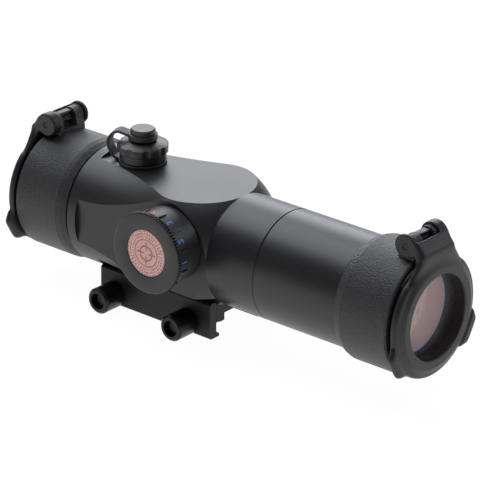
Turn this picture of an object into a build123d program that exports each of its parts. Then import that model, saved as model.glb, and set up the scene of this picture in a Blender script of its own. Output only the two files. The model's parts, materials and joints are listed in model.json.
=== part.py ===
from build123d import *
import math
import os

# Red dot sight: a tube on a rail clamp, with flip-up end caps, two capped turrets and a brightness knob.
# Frame: +X towards the objective end, +Y to the sight's left, +Z up. The origin is at the middle of the
# rail clamp, on the plane of the rail's top. Lengths are in millimetres.

# Main tube and body
tubeRadius = 19.0
tubeClearance = 4.45        # rail's top to the underside of the tube
axisHeight = tubeRadius + tubeClearance
bodyRear = -32.2
bodyFront = 27.3
collarTubeLength = 19.6
objectiveTubeLength = 53.0
eyepieceTubeLength = 21.3
flatDistance = tubeRadius - 0.1         # from the optical axis to the top and side flats
collarRadius = tubeRadius + 1.4
collarLength = 3.5
shoulderRadius = tubeRadius + 7.2       # the body's widest turned radius
shoulderX = 10.3
swellRadius = shoulderRadius - 0.9      # where the long hollow curve meets the shoulder
swellSetback = 5.0
shoulderCrest = 0.8
noseRadius = shoulderRadius - 1.4       # where the round nose starts
noseSetback = 8.0
noseLipRadius = tubeRadius + 3.4
noseLipSetback = 4.2
tubeWall = 5.1
bodyBore = tubeRadius - tubeWall
spigotLength = 5.0
spigotRadius = bodyBore + 1.4
socketRadius = spigotRadius + 0.9       # socket for the objective tube in the collar tube
edgeBreak = 0.3

# Objective and eyepiece glass
glassRadius = tubeRadius - 3.25
glassThickness = 3.9
glassBulge = 0.5
seatRadius = glassRadius - 0.85
seatDepth = 3.0
retainerRadius = glassRadius + 0.45
retainerBore = glassRadius - 1.55
retainerThickness = 1.2
retainerSlot = (1.2, 0.8)               # width and depth of the spanner slots
sealThickness = 0.8

# End caps
skirtRadius = tubeRadius + 2.0
skirtLength = 21.6
skirtOverhang = 1.9         # skirt past the end of its tube
skirtStep = 3.4
skirtEdge = 0.5
hingeInset = 2.8            # hinge axis behind the skirt's mouth
hingeHeight = skirtRadius + 3.8         # hinge axis above the optical axis
hingePinRadius = 0.9
lidGap = 1.4
lidThickness = 3.6
lidBore = skirtRadius - 6.8
lidFaceRadius = skirtRadius - 3.7
lidValley = 0.9             # depth of the valley round the lid's face
lidSpigotRadius = tubeRadius - 0.9
lidSpigotLength = 2.4
windowRadius = lidBore + 1.4
windowThickness = 1.45
tabRadius = skirtRadius + 2.7
tabHalfAngle = 15.0
tabAngle = 120.0            # from the hinge, each way
earRadius = 4.0
knuckleRadius = 3.1
nearEar = (-8.6, -7.3)
farEar = (4.8, 8.6)
earGap = 0.2
springNotch = (-3.2, 3.0)
springWire = 0.6

# Turrets
turretX = -16.5
neckRadius = 6.2
postRadius = neckRadius + 0.6
shankRadius = neckRadius - 0.8          # the post's plain shank in the body
shankDepth = 4.0
neckHeight = 5.2
ringHeight = 1.1
capRadius = neckRadius + 1.6
ringRadius = capRadius + 0.3
capBand = 4.0               # top of the cap's plain band above the flat
scallopRadius = capRadius + 0.8
capTop = 7.8
scallops = 9
scallopCutter = 2.2
scallopDepth = 0.55
buttonNeck = 3.3
buttonRadius = buttonNeck + 0.9
buttonTop = 12.0
buttonHead = 1.6
rivetRadius = 1.5
rivetDepth = 1.5
strapRingRadius = buttonNeck + 1.6
strapWidth = 4.4
strapThickness = 0.9
strapAngle = 200.0
strapReach = 4.0            # the loop beyond its lower ring
dialRadius = 3.2
dialFloor = 2.2
plungerRadius = 1.6
sealWire = 0.35
sealHeight = 3.0

# Inner optical tube and its gimbal
innerRadius = bodyBore - 1.5
innerWall = 1.0
innerRear = -20.5
innerFront = 22.2
pivotX = 20.0
gimbalHalf = 1.0
boardSize = (10.0, 7.0, 1.0)
boardStart = 2.0            # from the rear end of the inner tube
emitterRadius = 1.2
emitterHeight = 1.4
leafHalf = (6.0, 1.6)       # half the length and width of the bias spring's leaf
leafThickness = 0.4

# Brightness knob and battery
knobX = 12.5
knobZ = 4.35                # above the optical axis
drumHeight = 10.4
drumTop = flatDistance + drumHeight     # distance of the drum's outer end from the optical axis
drumGap = 0.3
batteryRadius = 10.0
batteryThickness = 3.2
batteryRoom = 0.3
batteryStep = 1.2           # the cell's smaller lower cap
capPlug = 0.6               # depth of the battery cap's plug in the drum
contactHeight = 1.25
drumRadius = batteryRadius + 2.6
drumFloor = 1.6
faceRadius = drumRadius + 1.3
faceThickness = 2.1
badgeRadius = 7.9
badgeThickness = 0.5
badgeRecess = 0.3
trackOuter = 9.6
trackInner = 6.4
trackHeight = 1.1
baseHeight = 1.0
baseRadius = trackOuter + 1.2
stemRadius = 3.6
wiperHalf = 1.2

# Rail clamp
clampLength = 48.0
clampCentre = 1.8
jawInner = 11.4
jawWall = 3.2
jawOuter = jawInner + jawWall
jawTop = 7.85
jawBottom = -4.95
jawEdge = 0.6
hookReach = jawInner - 1.5
hookThickness = 1.05
hookSlope = 1.0
seatInner = 7.3             # half width of the channel between the two rail seats
seatOuter = 9.7
seatRelief = 0.3            # depth of the relief outside each seat
channelTop = 2.6
baseTop = 6.85
baseHalfWidth = jawInner - 0.2
pocketRoom = 2.4            # from the jaws' top to the body's side pockets
boltSpacing = 32.0
boltHeight = -0.85
boltRadius = 1.9
boltHead = (3.4, 2.2)       # radius and height
boltNotch = 0.5             # radial room around each bolt in the base
boltEnd = jawOuter + 6.8
nutRadius = 4.5
nutFace = jawOuter + 8.7
nutChamfer = 0.7
nutRecess = 2.8
nutRecessDepth = 3.0
screwRadius = 1.5
screwHead = 2.8
screwHeadHeight = 1.6
screwSpacing = 14.0
screwGrip = 2.4             # depth of the screws in the body

# Fits
running = 0.05              # radial clearance of a shaft in its bore
loose = 0.1
seamGap = 0.3

objectiveEnd = bodyFront + collarTubeLength + objectiveTubeLength
eyepieceEnd = bodyRear - eyepieceTubeLength
frontSkirtX = objectiveEnd + skirtOverhang - skirtLength
rearSkirtX = eyepieceEnd - skirtOverhang + skirtLength
alongX = Pos(0, 0, axisHeight) * Rot(0, 90, 0)
knobPlace = Pos(knobX, 0, axisHeight + knobZ) * Rot(90, 0, 0)

parts = {}


def turned(outline):
    # A solid of revolution about local Z. The outline is a list of (radius, height) corners.
    face = make_face(Polyline(*[(r, 0, z) for r, z in outline], close=True))
    return revolve(face, Axis.Z)


def rod(radius, low, high):
    return Pos(0, 0, low) * Cylinder(radius, high - low, align=(Align.CENTER, Align.CENTER, Align.MIN))


def ring(outer, inner, low, high):
    return rod(outer, low, high) - rod(inner, low - 1, high + 1)


def rodY(radius, x, z, low, high):
    return Pos(x, 0, z) * Rot(-90, 0, 0) * rod(radius, low, high)


def block(low, high):
    size = [b - a for a, b in zip(low, high)]
    return Pos(*low) * Box(*size, align=(Align.MIN, Align.MIN, Align.MIN))


def slab(outline, low, high):
    # A plate cut from an (x, z) outline and spanning y from low to high.
    face = make_face(Polyline(*[(x, low, z) for x, z in outline], close=True))
    return extrude(face, high - low, dir=(0, 1, 0))


def rail(outline, low, high):
    # A bar of (y, z) section that runs along X from low to high.
    face = make_face(Polyline(*[(low, y, z) for y, z in outline], close=True))
    return extrude(face, high - low, dir=(1, 0, 0))


def oRing(major, minor, height):
    return Pos(0, 0, height) * Torus(major, minor)


def bodyShell():
    # Turned outline: a collar, a long hollow curve up to the shoulder, then a round nose down to the tube.
    swellEnd = (swellRadius, shoulderX - swellSetback)
    noseStart = (noseRadius, shoulderX + noseSetback)
    collarFront = bodyRear + collarLength
    swellSpan = swellEnd[1] - collarFront
    swellMid = (collarRadius + (swellEnd[0] - collarRadius) / 4, collarFront + swellSpan / 2)
    corner = [(r, 0, z) for r, z in (
        (spigotRadius, bodyRear), (collarRadius, bodyRear), (collarRadius, collarFront), swellMid, swellEnd,
        (shoulderRadius, shoulderX + shoulderCrest), noseStart,
        (noseLipRadius, bodyFront - noseLipSetback), (tubeRadius, bodyFront),
        (spigotRadius, bodyFront))]
    edges = Line(corner[0], corner[1]) + Line(corner[1], corner[2])
    edges += ThreePointArc(corner[2], corner[3], corner[4])
    edges += ThreePointArc(corner[4], corner[5], corner[6])
    edges += ThreePointArc(corner[6], corner[7], corner[8])
    edges += Line(corner[8], corner[9]) + Line(corner[9], corner[0])
    shell = revolve(make_face(edges), Axis.Z)
    length = bodyFront - bodyRear
    shell += ring(spigotRadius + 0.5, bodyBore, bodyRear + spigotLength, bodyFront - spigotLength)
    shell -= rod(spigotRadius + running, bodyRear - 1, bodyRear + spigotLength)
    shell -= rod(spigotRadius + running, bodyFront - spigotLength, bodyFront + 1)
    shell = alongX * shell
    flatSpan = (bodyRear + collarLength, bodyFront + 1)
    wide = 2 * shoulderRadius
    top = axisHeight + flatDistance
    shell -= block((flatSpan[0], -wide, top), (flatSpan[1], wide, top + length))
    for side in (-1, 1):
        near, far = sorted((side * flatDistance, side * wide))
        shell -= block((flatSpan[0], near, -wide), (flatSpan[1], far, axisHeight + wide))
    # The rail clamp stands in a pocket under the body, beside and below a central keel.
    clampRear = clampCentre - clampLength / 2 - seamGap
    keelHalf = baseHalfWidth + loose
    for side in (-1, 1):
        near, far = sorted((side * keelHalf, side * wide))
        shell -= block((clampRear, near, -wide), (bodyFront + 1, far, jawTop + pocketRoom))
    shell -= block((clampRear, -keelHalf, -wide), (bodyFront + 1, keelHalf, baseTop))
    for place in turretPlaces():
        shell -= place * rod(shankRadius + running, -flatDistance + shankDepth, 1)
    shell -= knobPlace * rod(screwRadius, bodyBore - 4, flatDistance + 1)
    for x in screwXs():
        shell -= Pos(x, 0, 0) * rod(screwRadius, baseTop - 1, baseTop + screwGrip)
    return shell


def turretPlaces():
    up = Pos(turretX, 0, axisHeight + flatDistance)
    left = Pos(turretX, flatDistance, axisHeight) * Rot(-90, 0, 0)
    return up, left


def screwXs():
    return (clampCentre - screwSpacing / 2, clampCentre + screwSpacing / 2)


def collarTube():
    low = bodyFront
    high = bodyFront + collarTubeLength
    spigotLow = low - spigotLength + seamGap
    tube = turned([
        (bodyBore + loose, spigotLow), (spigotRadius, spigotLow), (spigotRadius, low), (tubeRadius, low),
        (tubeRadius, high - edgeBreak), (tubeRadius - edgeBreak, high), (socketRadius, high),
        (socketRadius, high - spigotLength), (bodyBore + loose, high - spigotLength)])
    return alongX * tube


def endTube(seamX, endX):
    # A tube from the seam to its glass end, built along +Z with the seam at 0, then turned to face its end.
    length = abs(endX - seamX)
    outward = 1 if endX > seamX else -1
    spigotLow = seamGap - spigotLength
    glassFront = length - retainerThickness
    glassBack = glassFront - glassThickness - sealThickness
    plug = socketRadius - running if outward > 0 else spigotRadius
    bore = bodyBore + loose
    tube = turned([
        (bore, spigotLow), (plug, spigotLow), (plug, 0), (tubeRadius - edgeBreak, 0), (tubeRadius, edgeBreak),
        (tubeRadius, length), (retainerRadius, length), (retainerRadius, glassFront),
        (glassRadius + running, glassFront), (glassRadius + running, glassBack), (seatRadius, glassBack),
        (seatRadius, glassBack - seatDepth), (bore, glassBack - seatDepth)])
    return Pos(seamX, 0, axisHeight) * Rot(0, 90 * outward, 0) * tube


def endGlass(name, endX, outward):
    # Seal, glass and threaded retainer, stacked in from the open end of the tube. The glass has a flat rim
    # under the retainer and bulges inside it.
    place = Pos(endX, 0, axisHeight) * Rot(0, 90 * outward, 0)
    front = -retainerThickness
    back = front - glassThickness
    clear = retainerBore - loose
    peak = (0, 0, front + glassBulge)
    sphere = (clear**2 + glassBulge**2) / (2 * glassBulge)
    bulgeMid = (clear / 2, 0, front + glassBulge - sphere + math.sqrt(sphere**2 - clear**2 / 4))
    outline = Line((0, 0, back), (glassRadius, 0, back))
    outline += Line((glassRadius, 0, back), (glassRadius, 0, front))
    outline += Line((glassRadius, 0, front), (clear, 0, front))
    outline += ThreePointArc((clear, 0, front), bulgeMid, peak)
    outline += Line(peak, (0, 0, back))
    parts[name + "_lens"] = place * revolve(make_face(outline), Axis.Z)
    parts[name + "_lens_seal"] = place * ring(glassRadius, seatRadius, back - sealThickness, back)
    collar = ring(retainerRadius, retainerBore, front, 0)
    slotWidth, slotDepth = retainerSlot
    collar -= Pos(0, 0, 0) * Box(2 * retainerRadius + 2, slotWidth, 2 * slotDepth)
    parts[name + "_retainer"] = place * collar


def capSet(name, place):
    # One flip-up cap. Local X runs outward along the optical axis, from the skirt's inner edge.
    mouth = skirtLength
    hingeX = mouth - hingeInset
    lidBack = mouth + lidGap
    lidFace = lidBack + lidThickness
    axle = Rot(0, 90, 0)
    skirt = axle * turned([
        (tubeRadius + loose, 0), (tubeRadius + 0.4, 0), (skirtRadius - skirtEdge, skirtStep * 0.55),
        (skirtRadius, skirtStep), (skirtRadius, mouth - skirtEdge), (skirtRadius - skirtEdge, mouth),
        (tubeRadius + loose, mouth)])
    lugLow = nearEar[1] + earGap
    lugHigh = farEar[0] - earGap
    lug = slab([
        (hingeX - 3.6, tubeRadius + 1), (hingeX + 2.6, tubeRadius + 1), (hingeX + knuckleRadius, hingeHeight),
        (hingeX - knuckleRadius, hingeHeight)], lugLow, lugHigh)
    lug += rodY(knuckleRadius, hingeX, hingeHeight, lugLow, lugHigh)
    lug -= axle * rod(tubeRadius + loose, -1, mouth + 1)
    notchFloor = hingeHeight - knuckleRadius + 0.4
    lug -= block((hingeX - 5, springNotch[0], notchFloor), (hingeX + 5, springNotch[1], hingeHeight + 5))
    skirt += lug
    skirt -= rodY(hingePinRadius + running, hingeX, hingeHeight, -10, 10)
    parts[name + "_cap_skirt"] = place * skirt

    lid = axle * turned([
        (lidBore, lidFace - edgeBreak), (lidBore + edgeBreak, lidFace), (lidFaceRadius, lidFace),
        (lidFaceRadius + 1.6, lidFace - lidValley), (skirtRadius - 0.8, lidFace - 1.3),
        (skirtRadius, lidFace - 2.2),
        (skirtRadius, lidBack + 0.6), (skirtRadius - 0.6, lidBack), (lidSpigotRadius, lidBack),
        (lidSpigotRadius, lidBack - lidSpigotLength), (windowRadius, lidBack - lidSpigotLength),
        (windowRadius, lidBack - lidSpigotLength + windowThickness),
        (lidBore, lidBack - lidSpigotLength + windowThickness)])
    for side in (-1, 1):
        spread = math.radians(tabHalfAngle)
        reach = skirtRadius - 1
        foot = [(-reach * math.sin(1.35 * spread), reach), (reach * math.sin(1.35 * spread), reach)]
        tipHalf = tabRadius * math.sin(0.7 * spread)
        tip = [(tipHalf, tabRadius), (-tipHalf, tabRadius)]
        tab = rail(foot + tip, lidBack + 0.2, lidFace - 0.6)
        lid += Rot(side * tabAngle, 0, 0) * tab
    arm = slab([
        (hingeX + 0.8, hingeHeight + 3.9), (hingeX + 4.6, hingeHeight + 1.8),
        (lidFace - 0.6, hingeHeight - 2.6),
        (lidFace - 0.6, skirtRadius - 1.8), (lidBack, skirtRadius - 1.8), (lidBack - 0.7, skirtRadius + 0.6),
        (hingeX + 1.8, skirtRadius + 0.3)], nearEar[0], farEar[1])
    arm += rodY(earRadius, hingeX, hingeHeight, nearEar[0], farEar[1])
    slotLow, slotHigh = (hingeX - 6, nearEar[1], skirtRadius - 5), (hingeX + 3.7, farEar[0], hingeHeight + 6)
    arm -= block(slotLow, slotHigh)
    arm -= axle * rod(skirtRadius - 2, -1, lidFace + 1)
    lid += arm
    lid -= rodY(hingePinRadius, hingeX, hingeHeight, -10, 10)
    parts[name + "_lid"] = place * lid
    glass = rod(windowRadius, lidBack - lidSpigotLength, lidBack - lidSpigotLength + windowThickness)
    parts[name + "_lid_window"] = place * (axle * glass)
    pin = rodY(hingePinRadius, hingeX, hingeHeight, nearEar[0] + 0.3, farEar[1] - 0.3)
    parts[name + "_hinge_pin"] = place * pin
    notchLow, notchHigh = springNotch[0] + loose, springNotch[1] - loose
    coil = rodY(hingePinRadius + loose + springWire, hingeX, hingeHeight, notchLow, notchHigh)
    coil -= rodY(hingePinRadius + loose, hingeX, hingeHeight, -10, 10)
    parts[name + "_lid_spring"] = place * coil


def turret(name, place):
    # Post, seal, dial and plunger, with the screw cap, its swivel button and the strap that keeps it.
    bandLow = ringHeight + loose
    plungerLow = innerRadius - flatDistance + running
    post = turned([
        (plungerRadius + running, -shankDepth), (shankRadius, -shankDepth), (shankRadius, 0), (postRadius, 0),
        (postRadius, ringHeight + 0.05), (neckRadius, ringHeight + 0.05), (neckRadius, neckHeight),
        (dialRadius + running, neckHeight), (dialRadius + running, dialFloor - 0.7),
        (plungerRadius + running, dialFloor - 0.7)])
    groove = oRing(neckRadius - running - sealWire + loose, sealWire, sealHeight)
    parts[name + "_post"] = place * (post - groove)
    parts[name + "_seal"] = place * groove
    dial = rod(dialRadius, dialFloor, neckHeight - 0.6)
    dial -= Pos(0, 0, neckHeight - 0.6) * Box(2 * dialRadius + 1, 0.9, 1.6)
    parts[name + "_dial"] = place * dial
    parts[name + "_plunger"] = place * rod(plungerRadius, plungerLow, dialFloor - 0.9)

    cap = rod(capRadius, bandLow, capBand) + rod(scallopRadius, capBand, capTop)
    cap -= rod(neckRadius + loose, bandLow - 1, neckHeight + 0.3)
    cutterCentre = scallopRadius + scallopCutter - scallopDepth
    for i in range(scallops):
        cutter = Pos(cutterCentre, 0, 0) * rod(scallopCutter, capBand, capTop + 1)
        cap -= Rot(0, 0, 360 * i / scallops) * cutter
    cap -= rod(rivetRadius, capTop - rivetDepth, capTop + 1)
    parts[name + "_cap"] = place * cap
    button = turned([
        (0, capTop - rivetDepth), (rivetRadius, capTop - rivetDepth), (rivetRadius, capTop),
        (buttonNeck, capTop),
        (buttonNeck, buttonTop - buttonHead), (buttonRadius, buttonTop - buttonHead),
        (buttonRadius, buttonTop - 0.4), (buttonRadius - 0.4, buttonTop), (0, buttonTop)])
    parts[name + "_button"] = place * button

    eyeLow = capTop + 0.5
    eyeHigh = buttonTop - buttonHead - 0.15
    eyeMid = (eyeLow + eyeHigh) / 2
    heel = ringHeight / 2
    reach = ringRadius + strapReach
    path = Line((strapRingRadius - 0.5, eyeMid), (ringRadius, eyeMid + 0.9))
    path += ThreePointArc((ringRadius, eyeMid + 0.9), (reach - 0.4, 6.6), (ringRadius + 2.6, 2.6))
    path += ThreePointArc((ringRadius + 2.6, 2.6), (ringRadius + 1.4, 0.95), (ringRadius - 0.6, heel))
    turn = math.radians(strapAngle)
    outwards = (math.cos(turn), math.sin(turn), 0)
    upright = Plane((0, 0, 0), x_dir=outwards, z_dir=(math.sin(turn), -math.cos(turn), 0))
    ribbon = upright * extrude(trace(path, strapThickness), strapWidth / 2, both=True)
    strap = ribbon + ring(ringRadius, postRadius + running, 0, ringHeight)
    strap += ring(strapRingRadius, buttonNeck + loose, eyeLow, eyeHigh)
    strap -= rod(buttonNeck + loose, eyeLow - 0.5, buttonTop - buttonHead)
    strap -= rod(postRadius + running, -1, ringHeight + 1)
    strap &= rod(4 * ringRadius, 0, 2 * buttonTop)
    parts[name + "_strap"] = place * strap


def innerOptics():
    # The tube that carries the emitter tilts in a gimbal ring, up and down and side to side.
    boardLength, boardWidth, boardThickness = boardSize
    # The board's two long edges stand on the round wall of the tube.
    floor = axisHeight - math.sqrt((innerRadius - innerWall)**2 - boardWidth**2 / 4) + running
    boardLow = innerRear + boardStart
    boardTop = floor + boardThickness
    parts["inner_tube"] = alongX * ring(innerRadius, innerRadius - innerWall, innerRear, innerFront)
    boardEdge = boardWidth / 2
    boardHigh = boardLow + boardLength
    parts["emitter_board"] = block((boardLow, -boardEdge, floor), (boardHigh, boardEdge, boardTop))
    led = rod(emitterRadius, boardTop, boardTop + emitterHeight)
    parts["emitter_led"] = Pos(boardLow + 0.7 * boardLength, 0, 0) * led
    gimbal = ring(bodyBore - loose, innerRadius + loose, pivotX - gimbalHalf, pivotX + gimbalHalf)
    parts["gimbal_ring"] = alongX * gimbal
    halfLength, halfWidth = leafHalf
    leafOuter = bodyBore - running
    leaf = ring(leafOuter, leafOuter - leafThickness, turretX - halfLength, turretX + halfLength)
    sector = block((-halfWidth, -bodyBore - 1, turretX - halfLength), (halfWidth, 0, turretX + halfLength))
    parts["bias_spring"] = alongX * (Rot(0, 0, 45) * (leaf & sector))


def knob():
    # Local Z is the distance out from the optical axis, towards the sight's right side.
    low = flatDistance
    trackLow = low + baseHeight
    batteryLow = drumTop - capPlug - loose - batteryThickness
    floorTop = batteryLow - contactHeight
    floorLow = floorTop - drumFloor
    bayRadius = batteryRadius + batteryRoom
    base = rod(baseRadius, low, trackLow) + rod(stemRadius, low, floorLow - drumGap)
    base -= rod(screwRadius, low - 1, drumTop)
    parts["knob_base"] = knobPlace * base
    parts["knob_track"] = knobPlace * ring(trackOuter, trackInner, trackLow, trackLow + trackHeight)
    hollow = baseRadius + 0.4
    drum = turned([
        (0, floorLow), (hollow, floorLow), (hollow, low + drumGap), (drumRadius, low + drumGap),
        (drumRadius, drumTop), (bayRadius, drumTop), (bayRadius, floorTop), (0, floorTop)])
    parts["knob_drum"] = knobPlace * drum
    wiperLow = trackLow + trackHeight + loose
    wiperInner, wiperOuter = trackInner + 0.2, trackOuter - 0.2
    wiper = block((wiperInner, -wiperHalf, wiperLow), (wiperOuter, wiperHalf, floorLow))
    parts["knob_wiper"] = knobPlace * wiper
    springOuter = batteryRadius - batteryStep - 0.6
    parts["battery_contact"] = knobPlace * turned([
        (2.0, batteryLow - loose), (2.8, batteryLow - loose), (springOuter - 1.2, floorTop + 0.4),
        (springOuter, floorTop + 0.4), (springOuter, floorTop), (springOuter - 1.6, floorTop),
        (2.0, batteryLow - 0.6)])
    parts["battery"] = knobPlace * turned([
        (0, batteryLow), (batteryRadius - batteryStep, batteryLow), (batteryRadius, batteryLow + 0.5),
        (batteryRadius, batteryLow + batteryThickness), (0, batteryLow + batteryThickness)])
    faceLow = drumTop + loose
    faceTop = faceLow + faceThickness
    badgeTop = faceTop - badgeRecess
    badgeLow = badgeTop - badgeThickness
    cap = turned([
        (0, drumTop - capPlug), (batteryRadius, drumTop - capPlug), (batteryRadius, faceLow),
        (faceRadius, faceLow), (faceRadius, faceTop - edgeBreak), (faceRadius - edgeBreak, faceTop),
        (badgeRadius + loose, faceTop), (badgeRadius + loose, badgeLow), (0, badgeLow)])
    parts["battery_cap"] = knobPlace * cap
    parts["badge_disc"] = knobPlace * rod(badgeRadius, badgeLow, badgeTop)


def clamp():
    # The fixed jaw is one bar with the base; the moving jaw is a plate that the two nuts draw in.
    low = clampCentre - clampLength / 2
    high = clampCentre + clampLength / 2
    hookTop = jawBottom + hookThickness
    lip = hookTop + hookSlope
    seatEdge = jawInner - running
    keelEdge = baseHalfWidth + 2 * loose
    nib = jawOuter - jawEdge
    base = rail([
        (-baseHalfWidth, seatRelief), (-seatOuter, seatRelief), (-seatOuter, 0), (-seatInner, 0),
        (-seatInner, channelTop), (seatInner, channelTop), (seatInner, 0), (seatOuter, 0),
        (seatOuter, seatRelief), (seatEdge, seatRelief), (seatEdge, lip), (hookReach, hookTop),
        (hookReach, jawBottom), (nib, jawBottom), (jawOuter, jawBottom + jawEdge),
        (jawOuter, jawTop - jawEdge),
        (nib, jawTop), (keelEdge, jawTop), (keelEdge, baseTop), (-baseHalfWidth, baseTop)], low, high)
    plate = rail([
        (-seatEdge, jawTop), (-seatEdge, lip), (-hookReach, hookTop), (-hookReach, jawBottom),
        (-nib, jawBottom), (-jawOuter, jawBottom + jawEdge), (-jawOuter, jawTop - jawEdge), (-nib, jawTop)],
        low, high)
    across = 2 * jawOuter
    headRadius, headHeight = boltHead
    bore = boltRadius + loose
    recessFloor = nutFace - nutRecessDepth
    bolts = []
    for name, x in zip(("rear", "front"), (-boltSpacing / 2, boltSpacing / 2)):
        base -= rodY(boltRadius + boltNotch, x, boltHeight, -across, across)
        plate -= rodY(bore, x, boltHeight, -across, across)
        head = rodY(headRadius, x, boltHeight, jawOuter, jawOuter + headHeight)
        bolts.append(head + rodY(boltRadius, x, boltHeight, -boltEnd, jawOuter))
        nut = turned([
            (bore, jawOuter), (nutRadius - edgeBreak, jawOuter), (nutRadius, jawOuter + edgeBreak),
            (nutRadius, nutFace - nutChamfer), (nutRadius - nutChamfer, nutFace), (nutRecess, nutFace),
            (nutRecess, recessFloor), (bore, recessFloor)])
        parts[name + "_clamp_nut"] = Pos(x, 0, boltHeight) * Rot(90, 0, 0) * nut
    screws = []
    headLow, headTop = channelTop + loose, channelTop + screwHeadHeight
    for x in screwXs():
        base -= Pos(x, 0, 0) * rod(screwRadius, channelTop - 1, baseTop + 1)
        base -= Pos(x, 0, 0) * rod(screwHead + loose, channelTop - 1, headTop)
        screw = rod(screwHead, headLow, headTop) + rod(screwRadius, headTop, baseTop + screwGrip - loose)
        screw -= rod(0.4 * screwHead, channelTop - 1, headLow + screwHeadHeight / 2)
        screws.append(Pos(x, 0, 0) * screw)
    parts["clamp_base"] = base
    parts["clamp_plate"] = plate
    parts["clamp_bolts"] = Compound(children=bolts)
    parts["base_screws"] = Compound(children=screws)


parts["body_housing"] = bodyShell()
parts["front_collar_tube"] = collarTube()
parts["objective_tube"] = endTube(bodyFront + collarTubeLength, objectiveEnd)
parts["eyepiece_tube"] = endTube(bodyRear, eyepieceEnd)
endGlass("objective", objectiveEnd, 1)
endGlass("eyepiece", eyepieceEnd, -1)
capSet("front", Pos(frontSkirtX, 0, axisHeight))
capSet("rear", Pos(rearSkirtX, 0, axisHeight) * Rot(0, 0, 180))
for turretName, turretPlace in zip(("elevation", "windage"), turretPlaces()):
    turret(turretName, turretPlace)
innerOptics()
knob()
clamp()

os.makedirs("parts", exist_ok=True)
for partName, solid in parts.items():
    export_step(solid, "parts/" + partName + ".step")
print(len(parts), "parts written")
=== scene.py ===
import bmesh
import bpy
import json
import math
from mathutils import Matrix, Vector


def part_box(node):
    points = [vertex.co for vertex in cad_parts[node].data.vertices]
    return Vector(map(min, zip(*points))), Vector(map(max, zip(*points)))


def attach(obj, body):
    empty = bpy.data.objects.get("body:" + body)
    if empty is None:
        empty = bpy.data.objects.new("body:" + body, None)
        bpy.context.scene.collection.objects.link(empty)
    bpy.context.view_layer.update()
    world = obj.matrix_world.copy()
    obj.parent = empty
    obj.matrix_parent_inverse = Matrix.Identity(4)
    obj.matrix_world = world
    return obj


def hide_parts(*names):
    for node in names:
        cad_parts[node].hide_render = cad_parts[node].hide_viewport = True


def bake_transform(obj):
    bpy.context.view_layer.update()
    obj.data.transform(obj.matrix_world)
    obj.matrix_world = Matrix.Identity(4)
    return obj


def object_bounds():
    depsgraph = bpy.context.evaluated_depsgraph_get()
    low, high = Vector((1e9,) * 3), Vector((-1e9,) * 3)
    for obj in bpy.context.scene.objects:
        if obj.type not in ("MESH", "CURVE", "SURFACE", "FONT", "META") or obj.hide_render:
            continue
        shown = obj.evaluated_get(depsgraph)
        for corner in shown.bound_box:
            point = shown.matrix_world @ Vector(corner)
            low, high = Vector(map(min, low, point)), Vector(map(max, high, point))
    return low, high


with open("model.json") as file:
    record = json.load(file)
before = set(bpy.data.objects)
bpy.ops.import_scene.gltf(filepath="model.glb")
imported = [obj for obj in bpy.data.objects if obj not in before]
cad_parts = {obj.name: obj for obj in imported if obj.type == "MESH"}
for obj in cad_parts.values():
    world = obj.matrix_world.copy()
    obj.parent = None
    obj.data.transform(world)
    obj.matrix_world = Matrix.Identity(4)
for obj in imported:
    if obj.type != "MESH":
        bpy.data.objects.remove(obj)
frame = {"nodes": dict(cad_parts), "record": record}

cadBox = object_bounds()
record = frame["record"]
nodes = frame["nodes"]
mm = 0.001

slotOfNode = {row["node"]: row["material_slot"] for row in record["subparts"]}

fixedSizes = {
    "collarShown": 19.6 * mm,    # length of collar tube in front of the body
    "postHeight": 5.2 * mm,      # of a turret's post above its flat
}

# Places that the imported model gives.
seamLow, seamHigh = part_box("front_collar_tube")
axisZ = (seamLow.z + seamHigh.z) / 2     # height of the optical axis
noseX = seamHigh.x - fixedSizes["collarShown"]
postLow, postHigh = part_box("elevation_post")
turretX = (postLow.x + postHigh.x) / 2
# From the optical axis to the deck and to the side flats.
flatDistance = postHigh.z - fixedSizes["postHeight"] - axisZ
capLow, capHigh = (corner.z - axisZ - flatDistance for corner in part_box("elevation_cap"))
faceLow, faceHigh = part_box("battery_cap")
knobX = (faceLow.x + faceHigh.x) / 2
knobZ = (faceLow.z + faceHigh.z) / 2
faceRadius = (faceHigh.x - faceLow.x) / 2
drumLow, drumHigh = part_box("knob_drum")
drumTop = -drumLow.y                     # from the optical axis to the drum's outer end
drumRadius = (drumHigh.x - drumLow.x) / 2


def looking(direction):
    # The turn that points a camera or a lamp that way.
    return direction.to_track_quat("-Z", "Y").to_matrix().to_4x4()


cameraSet = {
    "azimuth": 39.48,        # degrees round from the sight's right side towards its objective
    "elevation": 23.92,
    "roll": 0.9,
    "distance": 1.0351,      # metres
    "lens": 237.46,
    # from the nose seam to the middle of the view
    "aimRight": -1.043 * mm,
    "aimUp": 2.903 * mm,
    "nearest": 0.01,
    "farthest": 20,
}


def placeCamera():
    azimuth, elevation, roll = (math.radians(cameraSet[name]) for name in ("azimuth", "elevation", "roll"))
    back = Vector((math.sin(azimuth) * math.cos(elevation), -math.cos(azimuth) * math.cos(elevation),
                   math.sin(elevation)))
    nose = Vector((noseX, 0, axisZ))
    rolled = Matrix.Rotation(roll, 4, "Z")
    frontal = looking(-back) @ rolled
    right, up = frontal.col[0].to_3d(), frontal.col[1].to_3d()
    eye = nose + back * cameraSet["distance"]
    aim = nose + right * cameraSet["aimRight"] + up * cameraSet["aimUp"]
    camera = bpy.data.objects.new("camera", bpy.data.cameras.new("camera"))
    camera.data.lens = cameraSet["lens"]
    camera.data.clip_start = cameraSet["nearest"]
    camera.data.clip_end = cameraSet["farthest"]
    camera.matrix_world = Matrix.Translation(eye) @ looking(aim - eye) @ rolled
    bpy.context.scene.collection.objects.link(camera)
    bpy.context.scene.camera = camera


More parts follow.
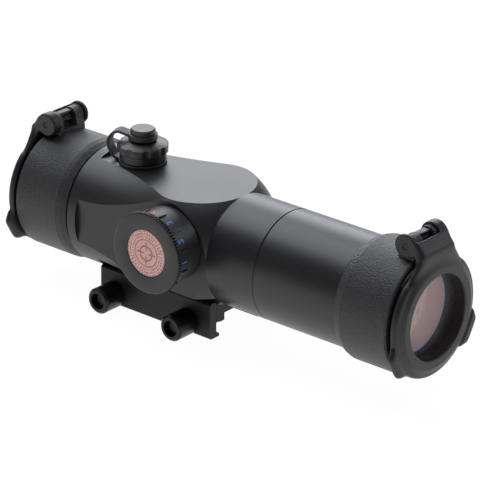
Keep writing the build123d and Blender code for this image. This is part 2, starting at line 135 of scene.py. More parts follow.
class Signal:
    # Wraps a socket, so that sums written on signals add Math nodes to the tree.
    def __init__(self, tree, socket=None):
        self.tree = tree
        self.socket = socket

    def node(self, kind, settings=None, sockets=None, out=0):
        made = self.tree.nodes.new(kind)
        for name, value in (settings or {}).items():
            setattr(made, name, value)
        for name, value in (sockets or {}).items():
            if isinstance(value, Signal):
                self.tree.links.new(value.socket, made.inputs[name])
            else:
                made.inputs[name].default_value = value
        return Signal(self.tree, made.outputs[out]) if made.outputs else None

    def maths(self, operation, *terms, **more):
        return self.node("ShaderNodeMath", {"operation": operation, **more}, dict(enumerate(terms)))

    def __add__(self, other):
        return self.maths("ADD", self, other)

    def __sub__(self, other):
        return self.maths("SUBTRACT", self, other)

    def __mul__(self, other):
        return self.maths("MULTIPLY", self, other)

    def __truediv__(self, other):
        return self.maths("DIVIDE", self, other)

    def __rsub__(self, other):
        return self.maths("SUBTRACT", other, self)

    def __rtruediv__(self, other):
        return self.maths("DIVIDE", other, self)

    def __lt__(self, other):
        return self.maths("LESS_THAN", self, other)

    def __gt__(self, other):
        return self.maths("GREATER_THAN", self, other)

    __radd__ = __add__
    __rmul__ = __mul__


def newMaterial(name):
    material = bpy.data.materials.new(name)
    material.use_nodes = True
    tree = material.node_tree
    tree.nodes.clear()
    return material, Signal(tree)


def finishMaterial(bench, sockets, bump=None, strength=None, depth=None):
    if bump is not None:
        sockets["Normal"] = bench.node("ShaderNodeBump", None, {
            "Height": bump, "Strength": strength, "Distance": depth})
    shader = bench.node("ShaderNodeBsdfPrincipled", None, sockets)
    bench.node("ShaderNodeOutputMaterial", None, {"Surface": shader})


def noise(bench, place, grains, detail, roughness=0.55):
    # grains is how many lumps stand side by side in a metre
    return bench.node("ShaderNodeTexNoise", None, {
        "Vector": place, "Scale": grains, "Detail": detail, "Roughness": roughness}, "Fac")


def shades(bench, mask, first, second):
    # Mixes two colours, or what another mix gives, by a mask.
    first, second = (side if isinstance(side, Signal) else (*side, 1) for side in (first, second))
    return bench.node("ShaderNodeMix", {"data_type": "RGBA"}, {
        "Factor": mask, 6: first, 7: second}, 2)


def paler(colour, share):
    return tuple(min(1.0, part * share) for part in colour)


def objectPlace(bench):
    return bench.node("ShaderNodeTexCoord", out="Object")


def ringPlace(bench, place, centre, axes):
    # Two of the object coordinates from a centre, and the distance from it.
    split = bench.node("ShaderNodeSeparateXYZ", None, {"Vector": place})
    across, along = (Signal(bench.tree, split.socket.node.outputs[axis]) - middle
                     for axis, middle in zip(axes, centre))
    return across, along, bench.maths("SQRT", across * across + along * along)


finishes = {                 # dark and light shade, roughness, grains in a metre, gloss, metallic
    "anodisedBody": ((0.010, 0.010, 0.011), (0.017, 0.017, 0.019), 0.40, 3800, 0.55, 0),
    "anodisedTube": ((0.009, 0.009, 0.010), (0.015, 0.015, 0.017), 0.36, 3800, 0.55, 0),
    "turretBlack": ((0.006, 0.006, 0.007), (0.010, 0.010, 0.011), 0.38, 4200, 0.55, 0),
    "knobBlack": ((0.014, 0.014, 0.016), (0.021, 0.021, 0.023), 0.44, 4200, 0.55, 0),
    "clampBlack": ((0.003, 0.003, 0.0035), (0.006, 0.006, 0.0065), 0.50, 7000, 0.35, 0),
    "nutBlack": ((0.006, 0.006, 0.007), (0.012, 0.012, 0.013), 0.32, 7000, 0.55, 0.5),
    "innerBlack": ((0.006, 0.006, 0.006), (0.010, 0.010, 0.010), 0.62, 6000, 0.55, 0),
    "pinSteel": ((0.020, 0.020, 0.022), (0.035, 0.035, 0.038), 0.36, 6000, 0.55, 0.6),
}
driftScale = 60              # slow changes of shade, in a metre


def anodised(name):
    # Bead-blasted and dyed: a fine tooth in the sheen and slow drifts in the shade.
    dark, light, rough, grains, gloss, metallic = finishes[name]
    material, bench = newMaterial(name)
    place = objectPlace(bench)
    drift = noise(bench, place, driftScale, 2)
    tooth = noise(bench, place, grains, 2)
    finishMaterial(bench, {
        "Base Color": shades(bench, drift, dark, light),
        "Roughness": rough - 0.04 + 0.05 * drift + 0.06 * tooth,
        "Metallic": metallic,
        "Specular IOR Level": gloss,
    }, tooth, 0.24, 0.04 * mm)
    return material


rubberLook = {
    "pebble": 1900,          # pebbles side by side in a metre
    "dark": (0.012, 0.012, 0.013),
    "light": (0.040, 0.040, 0.043),
    "depth": 0.34 * mm,
    "smoothDark": (0.003, 0.003, 0.0035),
    "smoothLight": (0.013, 0.013, 0.0145),
    "smoothGrain": 2600,
    "smoothDepth": 0.06 * mm,
}


def pebbledRubber(name):
    material, bench = newMaterial(name)
    place = objectPlace(bench)
    lumps = noise(bench, place, rubberLook["pebble"], 2, 0.45)
    fine = noise(bench, place, rubberLook["pebble"] * 3, 2)
    drift = noise(bench, place, 80, 2)
    finishMaterial(bench, {
        "Base Color": shades(bench, lumps, rubberLook["dark"], rubberLook["light"]),
        "Roughness": 0.38 + 0.10 * fine + 0.05 * drift,
        "Specular IOR Level": 0.5,
    }, lumps * 0.8 + fine * 0.2, 1.0, rubberLook["depth"])
    return material


def smoothRubber(name, rough=0.42):
    material, bench = newMaterial(name)
    place = objectPlace(bench)
    drift = noise(bench, place, 90, 2)
    fine = noise(bench, place, rubberLook["smoothGrain"], 2)
    blotches = drift * 0.4 + fine * 0.6
    finishMaterial(bench, {
        "Base Color": shades(bench, blotches, rubberLook["smoothDark"], rubberLook["smoothLight"]),
        "Roughness": rough - 0.06 + 0.05 * drift + 0.12 * fine,
        "Specular IOR Level": 0.5,
    }, fine, 0.30, rubberLook["smoothDepth"])
    return material


lensLooks = {
    "objective": {
        "coating": (0.235, 0.160, 0.156), "deep": (0.200, 0.136, 0.134), "edge": (0.13, 0.16, 0.26),
        "edgeStart": 13.3 * mm, "edgeWidth": 0.35 * mm,
        "glow": 0.62,        # painted reflection: the coating's tint glows as emission in place of the room it throws back
    },
    "eyepiece": {
        "coating": (0.050, 0.058, 0.085), "deep": (0.022, 0.027, 0.045), "edge": (0.07, 0.06, 0.12),
        "edgeStart": 13.3 * mm, "edgeWidth": 0.6 * mm,
        # painted reflection, given as emission, weaker on the eyepiece
        "glow": 0.30,
    },
}


def coatedGlass(name, look):
    # The reflecting coat is what shows: one tint over the face, another in a thin line at the rim. The tint
    # also glows as emission, a painted reflection of the room that keeps it evenly bright where shade falls.
    material, bench = newMaterial(name)
    place = objectPlace(bench)
    radius = ringPlace(bench, place, (0, axisZ), "YZ")[-1]
    rim = bench.maths("DIVIDE", radius - look["edgeStart"], look["edgeWidth"], use_clamp=True)
    drift = noise(bench, place, 45, 1)
    colour = shades(bench, rim, shades(bench, drift, look["deep"], look["coating"]), look["edge"])
    finishMaterial(bench, {
        "Base Color": colour, "Roughness": 0.08 + 0.05 * drift, "Specular IOR Level": 0.4,
        # Emission of the coating's colour: painted reflection of the room, not a lamp.
        "Emission Color": colour, "Emission Strength": look["glow"]})
    return material


windowLook = {
    "alpha": 0.04,
    "tint": (0.75, 0.75, 0.78),
    "smear": (0.9, 0.9, 0.92),
}


def clearWindow(name):
    material, bench = newMaterial(name)
    smear = noise(bench, objectPlace(bench), 160, 2)
    finishMaterial(bench, {
        "Base Color": shades(bench, smear, windowLook["tint"], windowLook["smear"]),
        "Alpha": windowLook["alpha"] + 0.02 * smear, "Roughness": 0.02 + 0.03 * smear})
    return material


badgeLook = {
    "face": (0.66, 0.36, 0.335),
    "pale": (0.90, 0.62, 0.57),
    "etch": (0.33, 0.085, 0.085),
    "bandInner": 5.0 * mm,
    "bandOuter": 7.7 * mm,
    "rowPitch": 0.95 * mm,   # between the band's rings of marks
    "marks": 40,
    "innerRing": (4.7 * mm, 0.28 * mm),      # radius and half width of each ring
    "middleRing": (2.5 * mm, 0.32 * mm),
    "cross": (1.0 * mm, 4.0 * mm, 0.26 * mm),    # start, end and half width of each arm
    "pitted": 4.4 * mm,
}


def etchedBadge(name):
    # A tinted disc with a band of short marks round its rim and a plain ring-and-cross in the middle.
    material, bench = newMaterial(name)
    place = objectPlace(bench)
    across, along, radius = ringPlace(bench, place, (knobX, knobZ), "XZ")
    grain = noise(bench, place, 1900, 3)
    wobble = noise(bench, place, 1400, 3)
    angle = bench.maths("ARCTAN2", along, across)
    marks = bench.maths("SINE", angle * badgeLook["marks"] + wobble * 9.0) > -0.15
    rows = bench.maths("SINE", radius * (2 * math.pi / badgeLook["rowPitch"]) + wobble * 3.0) > -0.35
    band = (radius > badgeLook["bandInner"]) * (radius < badgeLook["bandOuter"]) * marks * rows

    def near(value, middle, half):
        return bench.maths("ABSOLUTE", value - middle) < half

    start, end, half = badgeLook["cross"]
    arms = bench.maths("MAXIMUM", near(across, 0, half), near(along, 0, half))
    cross = arms * (radius < end) * (radius > start)
    rings = bench.maths("MAXIMUM", near(radius, *badgeLook["innerRing"]) * 0.8,
                        near(radius, *badgeLook["middleRing"]))
    pits = (noise(bench, place, 2400, 1) > 0.55) * (radius < badgeLook["pitted"]) * 0.55
    etched = bench.maths("MAXIMUM", bench.maths("MAXIMUM", band, pits), bench.maths("MAXIMUM", rings, cross),
                         use_clamp=True)
    tint = shades(bench, grain, badgeLook["face"], badgeLook["pale"])
    finishMaterial(bench, {
        "Base Color": shades(bench, etched * (0.50 + 0.60 * grain), tint, badgeLook["etch"]),
        "Roughness": 0.38 + 0.2 * grain, "Metallic": 0.25,
    }, 1 - etched + 0.4 * grain, 0.8, 0.10 * mm)
    return material


def plainMetal(name, colour):
    material, bench = newMaterial(name)
    wear = noise(bench, objectPlace(bench), 900, 3)
    finishMaterial(bench, {
        "Base Color": shades(bench, wear, colour, paler(colour, 1.3)), "Metallic": 1.0,
        "Roughness": 0.3 + 0.12 * wear,
    }, wear, 0.1, 0.03 * mm)
    return material


def paint(name, colour, rough=0.4):
    # Filled numerals, the circuit board and the diode.
    material, bench = newMaterial(name)
    fleck = noise(bench, objectPlace(bench), 4000, 2)
    finishMaterial(bench, {
        "Base Color": shades(bench, fleck, colour, paler(colour, 1.35)), "Roughness": rough + 0.1 * fleck,
    }, fleck, 0.2, 0.02 * mm)
    return material


materialOfSlot = {
    "anodised_body": anodised("anodisedBody"),
    "anodised_tube": anodised("anodisedTube"),
    "cap_rubber": pebbledRubber("pebbledRubber"),
    "lid_rubber": smoothRubber("lidRubber"),
    "coated_glass": coatedGlass("coatedGlass", lensLooks["objective"]),
    "clear_glass": coatedGlass("eyepieceGlass", lensLooks["eyepiece"]),
    "lid_window": clearWindow("lidWindow"),
    "inner_black": anodised("innerBlack"),
    "seal_rubber": smoothRubber("sealRubber", 0.5),
    "pin_steel": anodised("pinSteel"),
    "spring_steel": plainMetal("springSteel", (0.09, 0.09, 0.095)),
    "turret_black": anodised("turretBlack"),
    "strap_rubber": smoothRubber("strapRubber", 0.46),
    "dial_metal": plainMetal("dialMetal", (0.45, 0.45, 0.46)),
    "knob_black": anodised("knobBlack"),
    "badge_pink": etchedBadge("etchedBadge"),
    "battery_steel": plainMetal("batterySteel", (0.55, 0.55, 0.55)),
    "contact_brass": plainMetal("contactBrass", (0.62, 0.45, 0.2)),
    "circuit_board": paint("circuitBoard", (0.02, 0.14, 0.05)),
    "emitter_red": paint("emitterRed", (0.55, 0.03, 0.02), 0.2),
    "clamp_black": anodised("clampBlack"),
    "nut_black": anodised("nutBlack"),
}
numeralBlue = paint("numeralBlue", (0.03, 0.20, 0.62))
numeralRed = paint("numeralRed", (0.55, 0.05, 0.14))

for nodeName, piece in nodes.items():
    piece.data.materials.clear()
    piece.data.materials.append(materialOfSlot[slotOfNode[nodeName]])
print("finishes made:", len(materialOfSlot))


def meshObject(name, mesh, material):
    piece = bpy.data.objects.new(name, mesh)
    bpy.context.scene.collection.objects.link(piece)
    mesh.materials.clear()
    mesh.materials.append(material)
    return piece


def softEdges(mesh, degrees):
    # Smooth shading, with the edges that turn more than this kept crisp.
    work = bmesh.new()
    work.from_mesh(mesh)
    bmesh.ops.recalc_face_normals(work, faces=work.faces)
    limit = math.radians(degrees)
    for face in work.faces:
        face.smooth = True
    for edge in work.edges:
        edge.smooth = len(edge.link_faces) == 2 and edge.calc_face_angle() < limit
    work.to_mesh(mesh)
    work.free()


def settle(piece):
    # The evaluated shape becomes the piece's own plain mesh, and its modifiers go.
    shot = bpy.data.meshes.new_from_object(piece.evaluated_get(bpy.context.evaluated_depsgraph_get()))
    piece.modifiers.clear()
    shot.name = piece.name
    piece.data = shot


def mergeDoubles(mesh):
    # Corners in one place become one, and the faces turn outwards.
    work = bmesh.new()
    work.from_mesh(mesh)
    bmesh.ops.remove_doubles(work, verts=work.verts, dist=1e-7)
    bmesh.ops.recalc_face_normals(work, faces=work.faces)
    work.to_mesh(mesh)
    work.free()


def bevelled(piece, width, segments=2):
    # Merged, rounded along its edges and made plain.
    mergeDoubles(piece.data)
    rounding = piece.modifiers.new("rounding", "BEVEL")
    rounding.width = width
    rounding.segments = segments
    rounding.limit_method = "ANGLE"
    rounding.angle_limit = math.radians(35)
    rounding.use_clamp_overlap = True
    settle(piece)
    softEdges(piece.data, 40)


def lathe(outline, steps, name):
    # Closed solid of revolution about local Z, from (radius, height) corners; both ends lie on the axis.
    work = bmesh.new()
    turns = [2 * math.pi * i / steps for i in range(steps)]
    rings = []
    for radius, height in outline:
        around = turns if radius > 0 else [0]
        rings.append([work.verts.new((radius * math.cos(a), radius * math.sin(a), height)) for a in around])
    for below, above in zip(rings, rings[1:]):
        for i in range(steps):
            corners = [below[i % len(below)], below[(i + 1) % len(below)],
                       above[(i + 1) % len(above)], above[i % len(above)]]
            unique = list(dict.fromkeys(corners))
            if len(unique) > 2:
                work.faces.new(unique)
    mesh = bpy.data.meshes.new(name)
    work.to_mesh(mesh)
    work.free()
    return mesh


class Rig(Signal):
    # A Geometry Nodes tree under construction, with its named inputs.
    def __init__(self, name, inputs):
        tree = bpy.data.node_groups.new(name, "GeometryNodeTree")
        tree.interface.new_socket("Geometry", in_out="INPUT", socket_type="NodeSocketGeometry")
        tree.interface.new_socket("Geometry", in_out="OUTPUT", socket_type="NodeSocketGeometry")
        kinds = {float: "NodeSocketFloat", int: "NodeSocketInt"}
        for label, value in inputs.items():
            socket = tree.interface.new_socket(label, in_out="INPUT", socket_type=kinds[type(value)])
            socket.default_value = value
        super().__init__(tree)
        self.entry = tree.nodes.new("NodeGroupInput")
        self.values = inputs

    def input(self, label):
        # One of the named sizes, or the incoming shape as "Geometry".
        return Signal(self.tree, self.entry.outputs[label])

    def close(self, geometry, material):
        real = self.node("GeometryNodeRealizeInstances", None, {"Geometry": geometry})
        last = self.node("GeometryNodeSetMaterial", None, {"Geometry": real, "Material": material})
        self.node("NodeGroupOutput", None, {"Geometry": last})

    def apply(self, piece):
        modifier = piece.modifiers.new(self.tree.name, "NODES")
        modifier.node_group = self.tree
        for item in self.tree.interface.items_tree:
            if item.in_out == "INPUT" and item.name in self.values:
                modifier[item.identifier] = self.values[item.name]
        settle(piece)

    def polar(self):
        # Radius and angle of each point round local Z, and its height.
        place = self.node("GeometryNodeInputPosition")
        split = self.node("ShaderNodeSeparateXYZ", None, {"Vector": place})
        x, y, z = (Signal(self.tree, split.socket.node.outputs[axis]) for axis in "XYZ")
        return self.maths("SQRT", x * x + y * y), self.maths("ARCTAN2", y, x), z

    def setPolar(self, geometry, radius, angle, height):
        place = self.node("ShaderNodeCombineXYZ", None, {
            "X": radius * self.maths("COSINE", angle), "Y": radius * self.maths("SINE", angle), "Z": height})
        return self.node("GeometryNodeSetPosition", None, {"Geometry": geometry, "Position": place})


upOnDeck = Matrix.Translation((turretX, 0, axisZ + flatDistance))
leftOnFlat = Matrix.Translation((turretX, flatDistance, axisZ)) @ Matrix.Rotation(-math.pi / 2, 4, "X")
knobTurn = Matrix.Translation((knobX, 0, knobZ)) @ Matrix.Rotation(math.pi / 2, 4, "X")

turretCap = {                # inputs of the scallops' tree
    "Scallops": 9,
    "Cutter Radius": 2.2 * mm,
    "Scallop Depth": 0.55 * mm,
    "Band Top": 4.05 * mm,
}
capShape = {                 # heights are from the flat
    "boreRadius": 6.3 * mm,
    "boreTop": 5.5 * mm,
    "skirtRadius": 7.8 * mm,
    "stepTop": 4.35 * mm,    # where the skirt has widened to the grip
    "gripRadius": 8.6 * mm,
    "crownRadius": 4.9 * mm,
    "holeRadius": 1.5 * mm,
    "holeDepth": 1.5 * mm,
    "soft": 0.25 * mm,
    "facets": 24,            # across each scallop
}


def buildTurretCap(name, matrix):
    # The grip is a lathe shape whose wall gives way to round cutters above its plain band.
    bore, boreTop = capShape["boreRadius"], capShape["boreTop"]
    skirt, stepTop, grip = capShape["skirtRadius"], capShape["stepTop"], capShape["gripRadius"]
    crown, hole, soft = capShape["crownRadius"], capShape["holeRadius"], capShape["soft"]
    floor = capHigh - capShape["holeDepth"]
    outline = [
        (0, boreTop), (bore, boreTop), (bore, capLow), (skirt - soft, capLow), (skirt, capLow + soft),
        (skirt, stepTop - 2 * soft), (skirt + 0.2 * mm, stepTop - 0.35 * mm),
        (grip - 0.2 * mm, stepTop - soft), (grip, stepTop),
        (grip, capHigh - 1.45 * mm), (grip - 0.08 * mm, capHigh - 1.2 * mm),
        (grip - 0.4 * mm, capHigh - 1.0 * mm), (crown + 1.7 * mm, capHigh - 0.45 * mm),
        (crown + 0.3 * mm, capHigh - 0.08 * mm), (crown, capHigh), (hole, capHigh), (hole, floor), (0, floor)]
    around = turretCap["Scallops"] * capShape["facets"]
    piece = meshObject(name + "_scalloped_cap", lathe(outline, around, name), materialOfSlot["turret_black"])
    rig = Rig("scallopedCap", turretCap)
    radius, angle, height = rig.polar()
    cutter = rig.input("Cutter Radius")
    reach = grip + cutter - rig.input("Scallop Depth")
    sector = 2 * math.pi / rig.input("Scallops")
    offset = rig.maths("WRAP", angle, -0.5 * sector, 0.5 * sector)
    sideways = reach * rig.maths("SINE", offset)
    chord = rig.maths("MAXIMUM", cutter * cutter - sideways * sideways, 0.0)
    wall = reach * rig.maths("COSINE", offset) - rig.maths("SQRT", chord)
    inReach = (rig.maths("ABSOLUTE", sideways) < cutter) * (height > rig.input("Band Top"))
    shaped = radius + inReach * (rig.maths("MINIMUM", radius, wall) - radius)
    rig.close(rig.setPolar(rig.input("Geometry"), shaped, angle, height), materialOfSlot["turret_black"])
    rig.apply(piece)
    piece.data.transform(matrix)
    softEdges(piece.data, 26)
    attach(piece, name + "_cap")
    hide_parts(name + "_cap")


knurledFace = {              # inputs of the teeth's tree
    "Teeth": 84,
    "Tooth Depth": 0.62 * mm,
    "Rim Low": 0.12 * mm,
    "Rim High": 1.85 * mm,
}
faceShape = {                # heights are from the drum's outer end
    "plugRadius": 10.0 * mm,
    "plugDepth": 0.6 * mm,
    "under": 0.1 * mm,
    "top": 2.2 * mm,
    "recessRadius": 8.0 * mm,
    "recessFloor": 1.4 * mm,
    "land": 0.25,            # share of a tooth's swing that is flat
    "facets": 6,             # across each tooth
}


def buildBatteryCap():
    # The coin cell's cap: a plain face with a recess for the badge, and fine teeth all round its rim.
    rim, top, under, land = faceRadius, faceShape["top"], faceShape["under"], faceShape["land"]
    plug, plugEnd = faceShape["plugRadius"], -faceShape["plugDepth"]
    recess, floor = faceShape["recessRadius"], faceShape["recessFloor"]
    outline = [
        (0, plugEnd), (plug, plugEnd), (plug, under), (rim - 0.5 * mm, under),
        (rim - 0.1 * mm, under + 0.1 * mm), (rim, under + 0.25 * mm),
        (rim, top - 0.45 * mm), (rim - 0.08 * mm, top - 0.25 * mm), (rim - 0.3 * mm, top - 0.08 * mm),
        (rim - 0.6 * mm, top), (recess + 0.25 * mm, top), (recess, top - 0.1 * mm), (recess, floor),
        (0, floor)]
    around = knurledFace["Teeth"] * faceShape["facets"]
    piece = meshObject("toothed_battery_cap", lathe(outline, around, "cap"), materialOfSlot["knob_black"])
    rig = Rig("toothedRim", knurledFace)
    radius, angle, height = rig.polar()
    wave = rig.maths("COSINE", angle * rig.input("Teeth"))
    groove = rig.maths("MAXIMUM", land - wave, 0.0) * (1 / (1 + land))
    onRim = (height > rig.input("Rim Low")) * (height < rig.input("Rim High")) * (radius > rim - 0.2 * mm)
    shaped = radius - onRim * groove * rig.input("Tooth Depth")
    rig.close(rig.setPolar(rig.input("Geometry"), shaped, angle, height), materialOfSlot["knob_black"])
    rig.apply(piece)
    piece.data.transform(knobTurn @ Matrix.Translation((0, 0, drumTop)))
    softEdges(piece.data, 30)
    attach(piece, "battery_cap")
    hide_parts("battery_cap")


dialMarks = {                # inputs of the ridges' tree
    "Ridges": 11,
    "Ridge Length": 4.4 * mm,
    "Ridge Width": 0.74 * mm,
    "Ridge Height": 0.52 * mm,
    "First Angle": -53.4,        # degrees
}
ridgeEnd = 0.1 * mm          # from the ridges' outer ends to the drum's
ridgeSoft = 0.14 * mm


def buildRidges():
    # One raised bar for each brightness step, round the drum beside the toothed rim.
    piece = meshObject("step_ridges", bpy.data.meshes.new("ridges"), materialOfSlot["knob_black"])
    rig = Rig("ridgesOnDrum", {**dialMarks, "Drum Radius": drumRadius})
    size = rig.node("ShaderNodeCombineXYZ", None, {
        "X": rig.input("Ridge Height") * 2, "Y": rig.input("Ridge Width"), "Z": rig.input("Ridge Length")})
    bar = rig.node("GeometryNodeMeshCube", None, {"Size": size})
    circle = rig.node("GeometryNodeMeshCircle", None, {
        "Vertices": rig.input("Ridges"), "Radius": rig.input("Drum Radius")})
    angle = rig.polar()[1]
    turn = rig.node("ShaderNodeCombineXYZ", None, {"Z": angle})
    bars = rig.node("GeometryNodeInstanceOnPoints", None, {
        "Points": circle, "Instance": bar, "Rotation": turn})
    spun = rig.node("ShaderNodeCombineXYZ", None, {"Z": rig.input("First Angle") * (math.pi / 180)})
    rig.close(rig.node("GeometryNodeTransform", None, {"Geometry": bars, "Rotation": spun}),
              materialOfSlot["knob_black"])
    rig.apply(piece)
    middle = drumTop - dialMarks["Ridge Length"] / 2 - ridgeEnd
    piece.data.transform(knobTurn @ Matrix.Translation((0, 0, middle)))
    bevelled(piece, ridgeSoft)
    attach(piece, "knob")


numerals = {
    "height": 2.4 * mm,
    "fontShare": 1.4,        # the font's size over a figure's height
    "foot": 1.3 * mm,        # from the drum's outer end
    "weight": 0.05 * mm,     # how much bolder than the plain figure
    "thickness": 0.04 * mm,
    "standOff": 0.02 * mm,
    "steps": ("0", "1", "2", "3", "4", "5", "6", "7", "8", "9", "10"),
    "blue": 4,               # the first steps are blue, the rest red
}


def buildNumerals():
    # Filled numerals between the ridges, bent round the drum with their feet towards the toothed rim.
    radius, foot = drumRadius + numerals["standOff"], drumTop - numerals["foot"]
    pitch = 2 * math.pi / len(numerals["steps"])
    for i, figure in enumerate(numerals["steps"]):
        curve = bpy.data.curves.new("figure", "FONT")
        curve.body = figure
        curve.size = numerals["height"] * numerals["fontShare"]
        curve.align_x = "CENTER"
        curve.extrude = numerals["thickness"]
        curve.offset = numerals["weight"]
        holder = bpy.data.objects.new("figure", curve)
        bpy.context.scene.collection.objects.link(holder)
        mesh = bpy.data.meshes.new_from_object(holder.evaluated_get(bpy.context.evaluated_depsgraph_get()))
        bpy.data.objects.remove(holder)
        middle = math.radians(dialMarks["First Angle"]) + pitch * (i + 0.5)
        for vertex in mesh.vertices:
            turn = middle + vertex.co.x / radius
            reach = radius + vertex.co.z
            vertex.co = (reach * math.cos(turn), reach * math.sin(turn), foot - vertex.co.y)
        mergeDoubles(mesh)
        piece = meshObject("numeral_%02d" % i, mesh, numeralBlue if i < numerals["blue"] else numeralRed)
        piece.data.transform(knobTurn)
        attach(piece, "knob")


hingeSpring = {              # inputs of the spring's tree
    "Coils": 7.0,
    "Coil Radius": 1.32 * mm,
    "Wire Radius": 0.26 * mm,
}
springEnd = 0.3 * mm         # from the wire's middle to the sleeve at each end


def buildSpring(end):
    # Wound wire round the hinge pin, between the sleeves.
    low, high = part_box(end + "_lid_spring")
    middle = (low + high) / 2
    piece = meshObject(end + "_wound_spring", bpy.data.meshes.new("spring"), materialOfSlot["spring_steel"])
    rig = Rig("woundSpring", {**hingeSpring, "Length": high.y - low.y - 2 * springEnd})
    coil = rig.node("GeometryNodeCurveSpiral", None, {
        "Resolution": 24, "Rotations": rig.input("Coils"), "Start Radius": rig.input("Coil Radius"),
        "End Radius": rig.input("Coil Radius"), "Height": rig.input("Length")})
    wire = rig.node("GeometryNodeCurvePrimitiveCircle", None, {
        "Resolution": 8, "Radius": rig.input("Wire Radius")})
    rig.close(rig.node("GeometryNodeCurveToMesh", None, {
        "Curve": coil, "Profile Curve": wire, "Fill Caps": True}), materialOfSlot["spring_steel"])
    rig.apply(piece)
    turn = Matrix.Rotation(-math.pi / 2, 4, "X")
    piece.data.transform(Matrix.Translation((middle.x, low.y + springEnd, middle.z)) @ turn)
    softEdges(piece.data, 60)
    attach(piece, "sight")
    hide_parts(end + "_lid_spring")


bridge = {
    "width": 2.6 * mm,
    "height": 1.1 * mm,
    "rise": 1.55 * mm,       # its underside above the pin's centre
    "rounding": 0.28 * mm,
}


def buildBridge(end):
    # A flat-topped bar that joins the two sleeves over the spring.
    low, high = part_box(end + "_lid_spring")
    middle = (low + high) / 2
    under = middle.z + bridge["rise"]
    mesh = bpy.data.meshes.new("bridge")
    work = bmesh.new()
    bmesh.ops.create_cube(work, size=1.0)
    for vertex in work.verts:
        vertex.co.x = middle.x + bridge["width"] * vertex.co.x
        vertex.co.y = low.y if vertex.co.y < 0 else high.y
        vertex.co.z = under if vertex.co.z < 0 else under + bridge["height"]
    work.to_mesh(mesh)
    work.free()
    piece = meshObject(end + "_hinge_bridge", mesh, materialOfSlot["lid_rubber"])
    bevelled(piece, bridge["rounding"], 3)
    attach(piece, "sight")


moulding = {
    "lidGrain": 0.30 * mm,   # spacing of the rebuilt surface
    "lidRelax": 5,           # more passes give rounder edges
    "armRelax": 160,
    "strapGrain": 0.16 * mm,
    "strapRelax": 4,
    "strapFoot": 1.3 * mm,   # the strap's foot and top, as heights over the flat
    "strapTop": 7.6 * mm,
}


def mouldedCopy(name, node, material, grain, passes, webs=()):
    # A rubber part's edges are all rounded: rebuild its surface evenly, then relax it. Webs are convex
    # lumps, given by their corners, that melt into it.
    piece = meshObject(name, nodes[node].data.copy(), material)
    work = bmesh.new()
    work.from_mesh(piece.data)
    bmesh.ops.remove_doubles(work, verts=work.verts, dist=2e-6)
    for corners in webs:
        bmesh.ops.convex_hull(work, input=[work.verts.new(corner) for corner in corners])
    work.to_mesh(piece.data)
    work.free()
    rebuild = piece.modifiers.new("rebuild", "REMESH")
    rebuild.mode = "VOXEL"
    rebuild.voxel_size = grain
    relax = piece.modifiers.new("relax", "SMOOTH")
    relax.factor = 0.5
    relax.iterations = passes
    settle(piece)
    for face in piece.data.polygons:
        face.use_smooth = True
    return piece


saddle = {                   # where the hinge arm spreads into the lid's ring
    "thickness": 2.6 * mm,
    # height above the optical axis, half width, and how far the face lies behind the lid's own
    "rows": ((16.8 * mm, 12.6 * mm, 1.25 * mm), (18.6 * mm, 11.0 * mm, 0.7 * mm),
             (20.6 * mm, 9.3 * mm, 0.45 * mm), (23.4 * mm, 8.4 * mm, 0.35 * mm)),
    "armShare": 0.72,        # what lies higher than this share of its distance from the axis is arm
    "softArm": 16.4 * mm,    # smoothing begins this far from the optical axis on the arm,
    "softRim": 1.3 * mm,     # and elsewhere this far outside the tube,
    "fade": 0.9 * mm,        # and grows to full over this
    "pinClear": 3.9 * mm,    # the sleeve round the pin stays crisp
    "pinFade": 1.2 * mm,
}


def ramp(value, start, width):
    return min(max((value - start) / width, 0), 1)


def buildLid(end):
    # The ring keeps its profile; the hinge arm and the finger tabs are drawn out of it in soft curves.
    outward = 1 if end == "front" else -1
    lidLow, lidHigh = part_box(end + "_lid")
    face = lidHigh.x if outward > 0 else lidLow.x
    webs = []
    for lower, upper in zip(saddle["rows"], saddle["rows"][1:]):
        webs.append([(face - outward * (setback + depth), side * half, axisZ + height)
                     for height, half, setback in (lower, upper)
                     for depth in (0, saddle["thickness"]) for side in (-1, 1)])
    piece = mouldedCopy(end + "_moulded_lid", end + "_lid", materialOfSlot["lid_rubber"],
                        moulding["lidGrain"], moulding["lidRelax"], webs)
    pinLow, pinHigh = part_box(end + "_hinge_pin")
    hinge = (pinLow + pinHigh) / 2
    rim = (seamHigh.y - seamLow.y) / 2 + saddle["softRim"]
    soft = piece.vertex_groups.new(name="soft")
    for vertex in piece.data.vertices:
        place = vertex.co
        fromAxis = math.hypot(place.y, place.z - axisZ)
        fromPin = math.hypot(place.x - hinge.x, place.z - hinge.z)
        start = saddle["softArm"] if place.z - axisZ > saddle["armShare"] * fromAxis else rim
        weight = ramp(fromAxis, start, saddle["fade"]) * ramp(fromPin, saddle["pinClear"], saddle["pinFade"])
        soft.add([vertex.index], weight, "REPLACE")
    relax = piece.modifiers.new("relax", "SMOOTH")
    relax.factor = 0.5
    relax.iterations = moulding["armRelax"]
    relax.vertex_group = "soft"
    settle(piece)
    piece.vertex_groups.clear()
    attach(piece, end + "_lid")
    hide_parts(end + "_lid")


def buildStrap(name, lift):
    # The strap is remade with rounded edges and takes the imported one's place; where its loop would stretch
    # is worked out but not used.
    piece = mouldedCopy(name + "_moulded_strap", name + "_strap", materialOfSlot["strap_rubber"],
                        moulding["strapGrain"], moulding["strapRelax"])
    base = Vector((turretX, 0, axisZ)) + lift * flatDistance
    foot, top = (tuple(base + lift * moulding[height]) for height in ("strapFoot", "strapTop"))
    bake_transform(piece)
    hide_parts(name + "_strap")


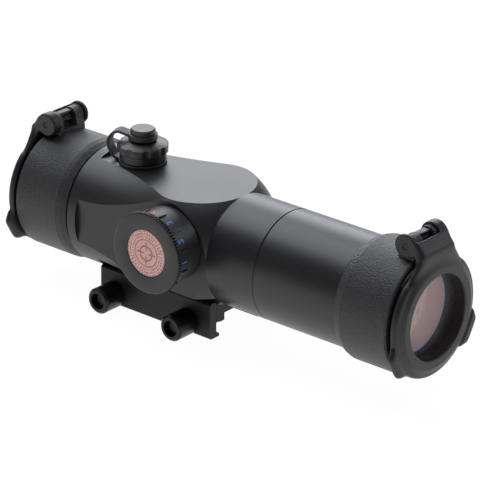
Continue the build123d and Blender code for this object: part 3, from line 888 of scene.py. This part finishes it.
studio = {
    "floorReach": 6.0,
    "floorGlow": 0.97,
    "floorShade": 0.06,
    "skyGlow": 0.10,
    "tint": (0.92, 0.94, 1.0),
    # place, width and height, watts
    "panels": {
        "backPanel": ((-0.75, 0.95, 0.62), (1.5, 0.75), 15.0),
        "overheadPanel": ((0.25, -0.15, 1.2), (0.9, 0.5), 3.0),
        "sidePanel": ((-0.66, 0.0, 1.02), (0.9, 0.9), 8.5),
        "edgePanel": ((0.70, 0.80, 0.55), (0.5, 0.5), 2.0),
    },
}


def lightPanel(name, place, size, power):
    lamp = bpy.data.lights.new(name, "AREA")
    lamp.shape = "RECTANGLE"
    lamp.size, lamp.size_y = size
    lamp.energy = power
    lamp.color = studio["tint"]
    panel = bpy.data.objects.new(name, lamp)
    aim = Vector((noseX, 0, axisZ)) - Vector(place)
    panel.matrix_world = Matrix.Translation(place) @ looking(aim)
    bpy.context.scene.collection.objects.link(panel)


def buildFloor():
    lowest, reach = cadBox[0][2], studio["floorReach"]
    mesh = bpy.data.meshes.new("floor")
    corners = [(-reach, -reach, lowest), (reach, -reach, lowest), (reach, reach, lowest),
               (-reach, reach, lowest)]
    mesh.from_pydata(corners, [], [(0, 1, 2, 3)])
    material, bench = newMaterial("paleFloor")
    glow = bench.node("ShaderNodeEmission", None, {"Color": (1, 1, 1, 1), "Strength": studio["floorGlow"]})
    shade = bench.node("ShaderNodeBsdfDiffuse", None, {"Color": (*[studio["floorShade"]] * 3, 1)})
    both = bench.node("ShaderNodeAddShader", None, {0: glow, 1: shade})
    bench.node("ShaderNodeOutputMaterial", None, {"Surface": both})
    meshObject("floor", mesh, material)


def buildStudio():
    buildFloor()
    world = bpy.data.worlds.new("studioSky")
    world.use_nodes = True
    sky = world.node_tree.nodes["Background"].inputs
    sky["Color"].default_value = (1, 1, 1, 1)
    sky["Strength"].default_value = studio["skyGlow"]
    bpy.context.scene.world = world
    bpy.context.scene.view_settings.view_transform = "Standard"
    for name, (place, size, power) in studio["panels"].items():
        lightPanel(name, place, size, power)


for end in ("front", "rear"):
    buildLid(end)
    buildSpring(end)
    buildBridge(end)
print("lids and hinge springs made")

buildTurretCap("elevation", upOnDeck)
buildTurretCap("windage", leftOnFlat)
buildStrap("elevation", Vector((0, 0, 1)))
buildStrap("windage", Vector((0, 1, 0)))
print("turret caps and straps made")

buildBatteryCap()
buildRidges()
buildNumerals()
print("knob made")

placeCamera()
buildStudio()
print("camera, floor and lights placed")
